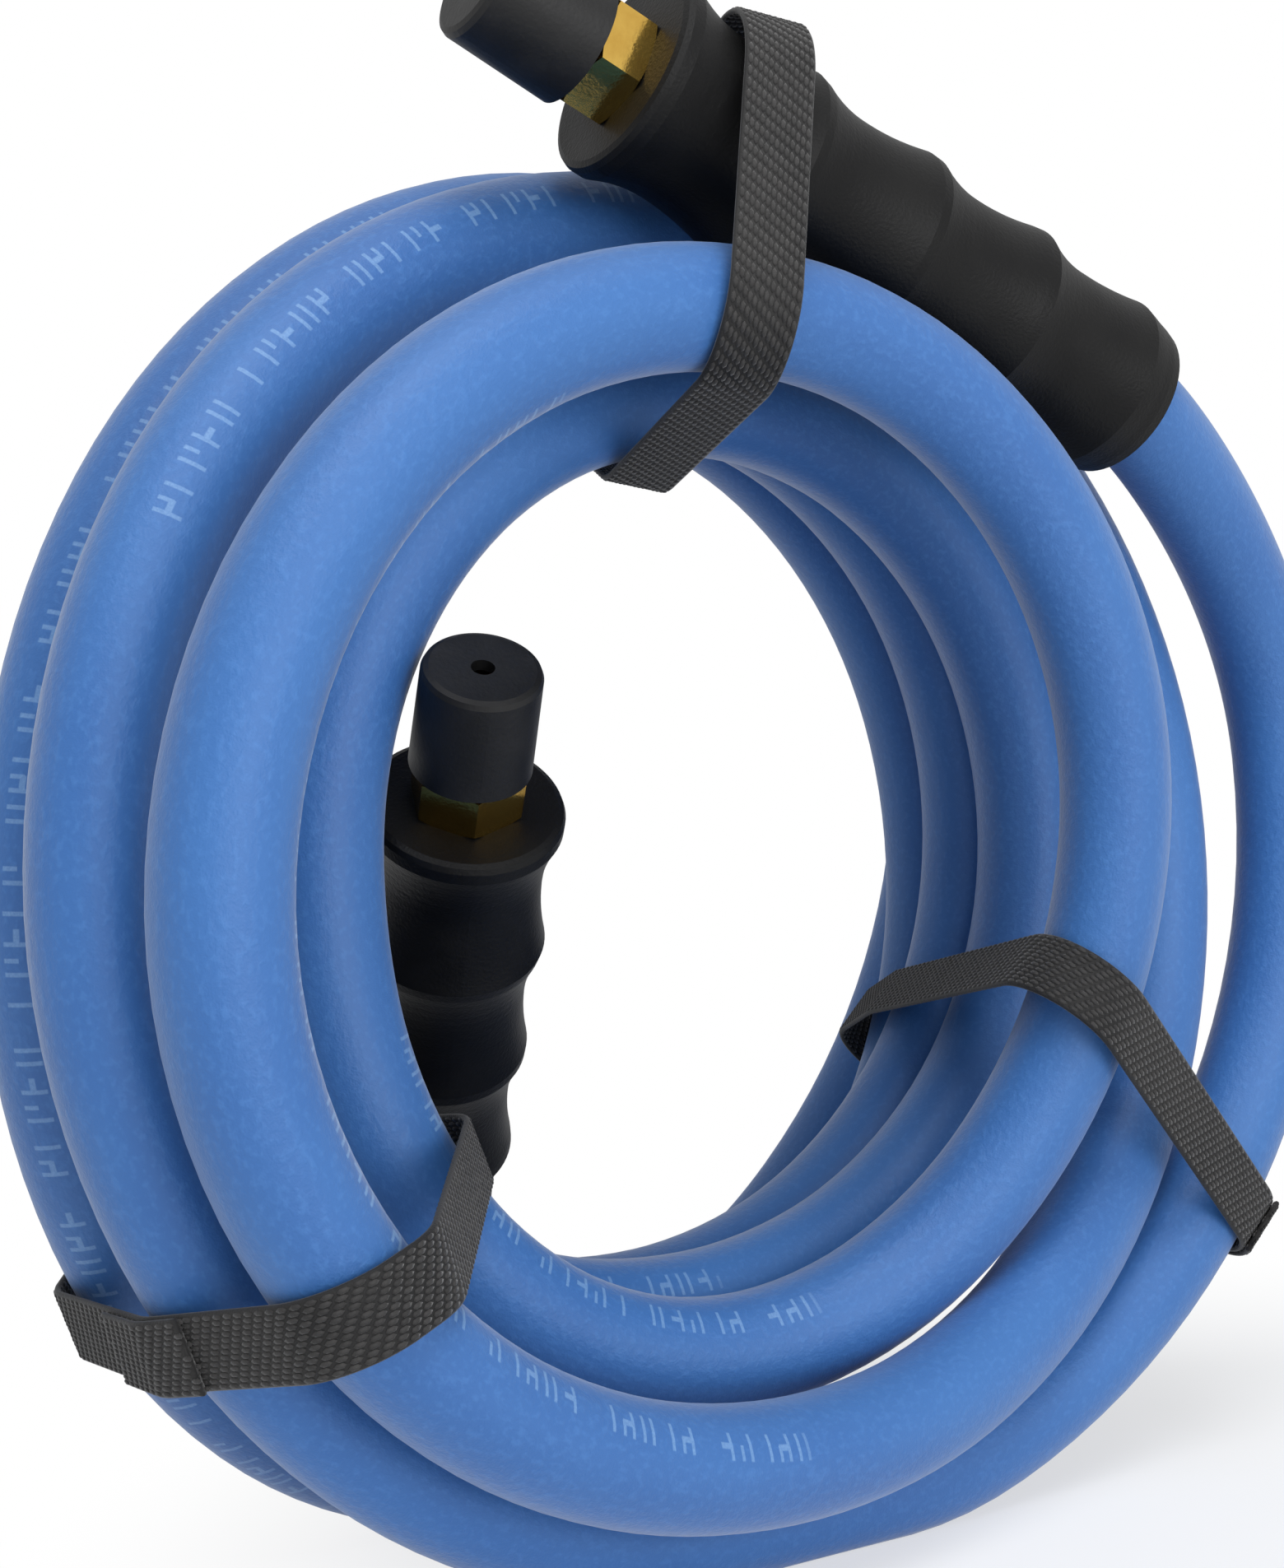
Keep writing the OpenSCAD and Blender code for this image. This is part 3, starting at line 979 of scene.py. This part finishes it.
@dataclass
class Tie:
    """A woven tape tied tight round the turns, in one plane, with a lapped free end."""

    name: str
    node: str
    route: Route
    finish: Finish
    weave: Weave
    angle: float
    lean: float
    tilt: float
    lap: int
    grip: bool = False
    width: float = 10.0
    thick: float = 1.2
    gap: float = 0.6
    grip_r: float = 14.8
    # how high the yarns stand over the ground
    crown: float = 0.18
    lap_len: float = 20.0
    # the ground's bevelled edge, the room beside the yarns, and from one point to the next
    bevel: float = 0.3
    selvedge: float = 0.25
    spacing: float = 0.8
    # turns in the bundle, tries at where each crosses the tie, and directions looked in
    turns: int = 6
    tries: int = 3
    ways_round: int = 720

    def basis(self) -> tuple[Points, Points, Points, Points]:
        """The tie's plane.

        Returns:
            A point in it, the way back and the way out along it, and its normal.
        """
        a, b, c = (math.radians(v) for v in (self.angle, self.angle + self.lean, self.tilt))
        r = self.route.eye_r + self.route.pitch
        pivot = np.array([r * math.sin(a), 0, r * math.cos(a) + self.route.axis_h])
        round_it = np.array([math.cos(b), 0, -math.sin(b)])
        behind = np.array([0.0, 1.0, 0.0])
        return (pivot, math.cos(c) * behind - math.sin(c) * round_it,
                np.array([math.sin(b), 0, math.cos(b)]),
                math.cos(c) * round_it + math.sin(c) * behind)

    def held(self) -> list[tuple[float, float, float]]:
        """Circles that the tape goes round: place back, place out, radius."""
        pivot, back, out, normal = self.basis()
        circles = []
        turn = self.route.turn
        for i in range(self.turns):
            for edge in (-0.5, 0.5):
                k = self.angle / QUARTER + 4 * i
                for _ in range(self.tries):
                    rate = (turn(k + NUDGE)[0] - turn(k - NUDGE)[0]) @ normal / (2 * NUDGE)
                    k -= ((turn(k)[0] - pivot) @ normal - edge * self.width) / rate
                p = turn(k)[0] - pivot
                slant = self.route.heading(k) @ normal
                circles.append((p @ back, p @ out, self.route.hose_r / slant))
        if self.grip:
            start, way, _ = self.route.end(End.OUTER)
            for edge in (-0.5, 0.5):
                along = (edge * self.width - (start - pivot) @ normal) / (way @ normal)
                p = start + along * way - pivot
                circles.append((p @ back, p @ out, self.grip_r))
        return circles

    def outline(self, grow: float) -> tuple[Points, Points]:
        """The loop round the circles.

        Args:
            grow: how far outside them it runs.

        Returns:
            Its points and their outward normals, in the plane.
        """
        angles = np.linspace(0, 2 * math.pi, self.ways_round, endpoint=False)
        ways = np.stack([np.cos(angles), np.sin(angles)], axis=1)
        discs = np.array(self.held())
        best = (ways @ discs[:, :2].T + discs[:, 2]).argmax(axis=1)
        points = discs[best, :2] + ways * (discs[best, 2:3] + grow)
        loop = np.concatenate([points, points[:1]])
        run = lengths(loop)
        at = np.linspace(0, run[-1], int(round(run[-1] / self.spacing)), endpoint=False)
        line = np.stack([np.interp(at, run, loop[:, i]) for i in (0, 1)], axis=1)
        tangent = unit(np.roll(line, -1, axis=0) - np.roll(line, 1, axis=0))
        return line, np.stack([tangent[:, 1], -tangent[:, 0]], axis=1)

    def in_space(self, flat: Points) -> Points:
        """Points of the tie's plane in space."""
        pivot, back, out, _ = self.basis()
        return pivot + flat[..., :1] * back + flat[..., 1:] * out

    def ways_in_space(self, flat: Points) -> Points:
        """Directions in the tie's plane in space."""
        _, back, out, _ = self.basis()
        return flat[..., :1] * back + flat[..., 1:] * out

    def band(self, name: str, line: Points, norm: Points, closed: bool) -> bpy.types.Object:
        """The ground of the tape: a flat band with rounded edges, coloured darker than the yarn as
        painted shade.

        Args:
            name: the piece's name.
            line: its middle line in the plane.
            norm: the outward normals there.
            closed: whether its two ends meet.

        Returns:
            The band.
        """
        half, low = self.width / 2, self.thick / 2 - self.crown
        flat = half - self.bevel
        section = np.array([[-flat, low], [flat, low], [half, low / 2], [half, -low / 2],
                            [flat, -low], [-flat, -low], [-half, -low / 2], [-half, low / 2]])
        normal = self.basis()[3]
        rows, m = len(line), len(section)
        points = (self.in_space(line)[:, None]
                  + self.ways_in_space(norm)[:, None] * section[None, :, 1:]
                  + normal * section[None, :, :1])
        faces = ring_faces(rows, m, closed=closed)
        if not closed:
            faces += [tuple(range(m)), tuple(reversed(range((rows - 1) * m, rows * m)))]
        piece = new_mesh(name, points.reshape(-1, 3), faces)
        face_outwards(piece)
        self.finish.dress(piece)
        return piece

    def floats(self, name: str, line: Points, norm: Points, closed: bool) -> bpy.types.Object:
        """The yarns that float over the ground of the tape.

        Args:
            name: the piece's name.
            line: the tape's middle line in the plane.
            norm: the outward normals there.
            closed: whether the line's two ends meet.

        Returns:
            The yarns.
        """
        count = len(line)
        mesh = bpy.data.meshes.new(name)
        edges = [(i, (i + 1) % count) for i in range(count if closed else count - 1)]
        mesh.from_pydata((self.in_space(line) * MM).tolist(), edges, [])
        guide = bpy.data.objects.new(name, mesh)
        bpy.context.scene.collection.objects.link(guide)
        hold(guide, "outward", self.ways_in_space(norm))
        return self.weave.grow(guide, face_height=(self.thick / 2 - self.crown) * MM,
                               crown=self.crown * MM,
                               width=(self.width - 2 * self.selvedge) * MM)

    def build(self) -> list[bpy.types.Object]:
        """Makes the tape and its lapped end.

        Returns:
            The pieces, of which the first replaces the plain one.
        """
        line, norm = self.outline(self.gap + self.thick / 2)
        made = [self.band(self.name, line, norm, True),
                self.floats(f"{self.name}_yarn", line, norm, True)]
        over, over_norm = self.outline(self.gap + self.thick * 3 / 2)
        place = np.array(self.held()[self.lap][:2]) + [0.0, self.route.hose_r]
        inside = np.abs(over - place).max(axis=1) < self.lap_len / 2
        first = int(np.argmax(inside & ~np.roll(inside, 1)))
        span = (first + np.arange(int(inside.sum()))) % len(over)
        made += [self.band(f"{self.name}_lap", over[span], over_norm[span], False),
                 self.floats(f"{self.name}_lap_yarn", over[span], over_norm[span], False)]
        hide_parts(self.node)
        for piece in made:
            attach(piece, COIL_BODY)
        return made


@dataclass
class Thread:
    """The helical ridge on a fitting's tapered thread, under its cap."""

    route: Route
    finish: Finish
    ridge: ThreadRidge
    hex_len: float = 7.0
    length: float = 15.0
    big_r: float = 6.85
    taper: float = 1 / 32
    pitch: float = 1.41
    depth: float = 0.34
    sunk: float = 0.1

    def build(self, end: End) -> bpy.types.Object:
        """Makes the ridge of one fitting.

        Args:
            end: which end of the hose.

        Returns:
            The ridge.
        """
        run = self.length - 2 * self.pitch
        name = f"thread_{end.value}"
        guide = bpy.data.objects.new(name, bpy.data.meshes.new(name))
        bpy.context.scene.collection.objects.link(guide)
        low_r = self.big_r - self.pitch * self.taper - self.sunk
        self.ridge.grow(guide, turns=run / self.pitch, length=run * MM, low_radius=low_r * MM,
                        high_radius=(low_r - run * self.taper) * MM, ridge=self.depth * MM)
        start, way, _ = self.route.end(end)
        place = Matrix.Translation(Vector((start - (self.hex_len + self.pitch) * way) * MM))
        turned = Vector(-way).to_track_quat("Z", "Y").to_matrix().to_4x4()
        guide.data.transform(place @ turned)
        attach(guide, COIL_BODY)
        return guide


def face_outwards(piece: bpy.types.Object) -> None:
    """Turns every face of a closed piece outwards."""
    bm = bmesh.new()
    bm.from_mesh(piece.data)
    bmesh.ops.recalc_face_normals(bm, faces=bm.faces)
    if bm.calc_volume(signed=True) < 0:
        bmesh.ops.reverse_faces(bm, faces=bm.faces)
    bm.to_mesh(piece.data)
    bm.free()


# --------------------------------------------------------------------- scene

@dataclass
class Studio:
    """Camera, pale floor and soft light."""

    axis_h: float
    eye: Triple = (-0.2046, -0.2583, 0.0091)
    ahead: Triple = (0.591, 0.806, 0.009)
    up: Triple = (0.009, -0.018, 1.0)
    lens: float = 51.86
    sensor: float = 36.0
    nearest: float = 0.01
    floor_size: float = 6.0
    coil_middle: float = 0.02
    # the surround as a light, and the share of its full white that a reflection shows
    ambient: float = 0.42
    mirrored: float = 0.7
    # each lamp's name, place in metres, size in metres and watts
    lamps: tuple[tuple[str, Triple, float, float], ...] = (
        ("key", (-0.35, -0.6, 1.35), 0.8, 12.0), ("fill", (-0.1, -1.2, 0.2), 0.8, 10.0))

    def camera(self) -> None:
        """Makes the camera."""
        data = bpy.data.cameras.new("camera")
        data.lens, data.sensor_width, data.clip_start = self.lens, self.sensor, self.nearest
        camera = bpy.data.objects.new("camera", data)
        back = -Vector(self.ahead).normalized()
        right = Vector(self.up).cross(back).normalized()
        frame = Matrix((right, back.cross(right), back)).transposed().to_4x4()
        frame.translation = Vector(self.eye) + Vector((0, 0, self.axis_h * MM))
        camera.matrix_world = frame
        bpy.context.scene.collection.objects.link(camera)
        bpy.context.scene.camera = camera

    def floor(self) -> None:
        """Lays a white floor that fades into a white background away from the object."""
        half = self.floor_size / 2 / MM
        floor = new_mesh("floor", [(-half, -half, 0), (half, -half, 0), (half, half, 0),
                                   (-half, half, 0)], [(0, 1, 2, 3)], smooth=False)
        FloorWhite().dress(floor)

    def world(self) -> None:
        """Sets a plain white surround: brighter to the camera than as a light."""
        world = bpy.data.worlds.new("surround")
        world.use_nodes = True
        bench = NodeBench(world.node_tree)
        world.node_tree.nodes.clear()
        path = bench.node("ShaderNodeLightPath").outputs
        seen = bench.signal(path["Is Glossy Ray"]) * self.mirrored
        seen = seen.most(bench.signal(path["Is Camera Ray"]))
        seen = seen.most(bench.signal(path["Is Transmission Ray"]))
        strength = self.ambient + seen * (1.0 - self.ambient)
        back = bench.node("ShaderNodeBackground", None,
                          {"Color": (1.0, 1.0, 1.0, 1.0), "Strength": strength})
        out = bench.node("ShaderNodeOutputWorld")
        world.node_tree.links.new(back.outputs[0], out.inputs["Surface"])
        bpy.context.scene.world = world

    def lamp(self, name: str, at: Triple, size: float, watts: float) -> None:
        """Adds a soft square lamp that looks at the coil.

        Args:
            name: its name.
            at: where it is, in metres.
            size: the length of its side, in metres.
            watts: its power.
        """
        data = bpy.data.lights.new(name, "AREA")
        data.shape, data.size, data.energy = "SQUARE", size, watts
        lamp = bpy.data.objects.new(name, data)
        lamp.location = at
        aim = Vector((0, self.coil_middle, self.axis_h * MM)) - Vector(at)
        lamp.rotation_euler = aim.to_track_quat("-Z", "Y").to_euler()
        bpy.context.scene.collection.objects.link(lamp)

    def build(self) -> None:
        """Makes the light and the floor."""
        self.floor()
        self.world()
        for lamp in self.lamps:
            self.lamp(*lamp)
        bpy.context.scene.view_settings.view_transform = "Standard"


class FloorWhite(Finish):
    """White floor that keeps a faint shadow near the object and is plain white far off."""

    title = "white floor"
    constants = {"Roughness": 0.9, "Specular IOR Level": 0.0}
    paint = (0.9, 0.92, 0.95, 1.0)
    middle_x, middle_y = 0.09, -0.06   # of the shadow, in metres
    shadow_to, white_from = 0.09, 0.22   # how far from there it starts to fade, and is gone
    least_white = 0.58   # the share of plain white in the shadow

    def build(self) -> None:
        """Mixes the lit floor with plain white by the distance from the object."""
        x, y, _ = self.parts(self.place())
        right, back = x - self.middle_x, y - self.middle_y
        far = (right * right + back * back) ** 0.5
        self.shader.inputs["Base Color"].default_value = self.paint
        glow = self.node("ShaderNodeEmission", None, {"Color": (1.0, 1.0, 1.0, 1.0)})
        path = self.node("ShaderNodeLightPath").outputs
        seen = self.signal(path["Is Camera Ray"]).most(self.signal(path["Is Glossy Ray"]))
        fade = far.window(self.shadow_to, self.white_from)
        share = seen * (self.least_white + (1.0 - self.least_white) * fade)
        both = self.node("ShaderNodeMixShader", None,
                         {0: share, 1: self.shader.outputs[0], 2: glow.outputs[0]})
        self.tree.links.new(both.outputs[0], self.out.inputs["Surface"])


def main() -> None:
    """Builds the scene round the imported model."""
    logging.basicConfig(level=logging.INFO, format="%(name)s: %(message)s")
    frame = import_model()
    nodes = frame["nodes"]
    route = Route()
    studio = Studio(route.axis_h)
    studio.camera()
    hose = HoseCover(route, HoseRubber())
    hose.build()
    log.info("hose: %d faces", len(hose.piece.data.polygons))
    brass = Brass()
    finishes: dict[str, Finish] = {"stem": brass, "ferrule": brass, "grip": GripRubber(),
                                   "cap": CapRubber()}
    thread = Thread(route, brass, ThreadRidge(brass.material))
    ridges = {end: thread.build(end) for end in End}
    for end in End:
        for kind, finish in finishes.items():
            finish.dress(nodes[f"{kind}_{end.value}"])
        log.info("%s: %d faces", ridges[end].name, len(ridges[end].data.polygons))
    hose.declare([nodes[f"{kind}_inner"] for kind in finishes] + [ridges[End.INNER]])
    tape = Tape()
    weave = Weave(tape.material)
    for name, lie in TIES.items():
        tie = Tie(f"tie_{name}", f"strap_{name}", route, tape, weave, *lie)
        for piece in tie.build():
            log.info("%s: %d faces", piece.name, len(piece.data.polygons))
    studio.build()


if __name__ == "__main__":
    main()
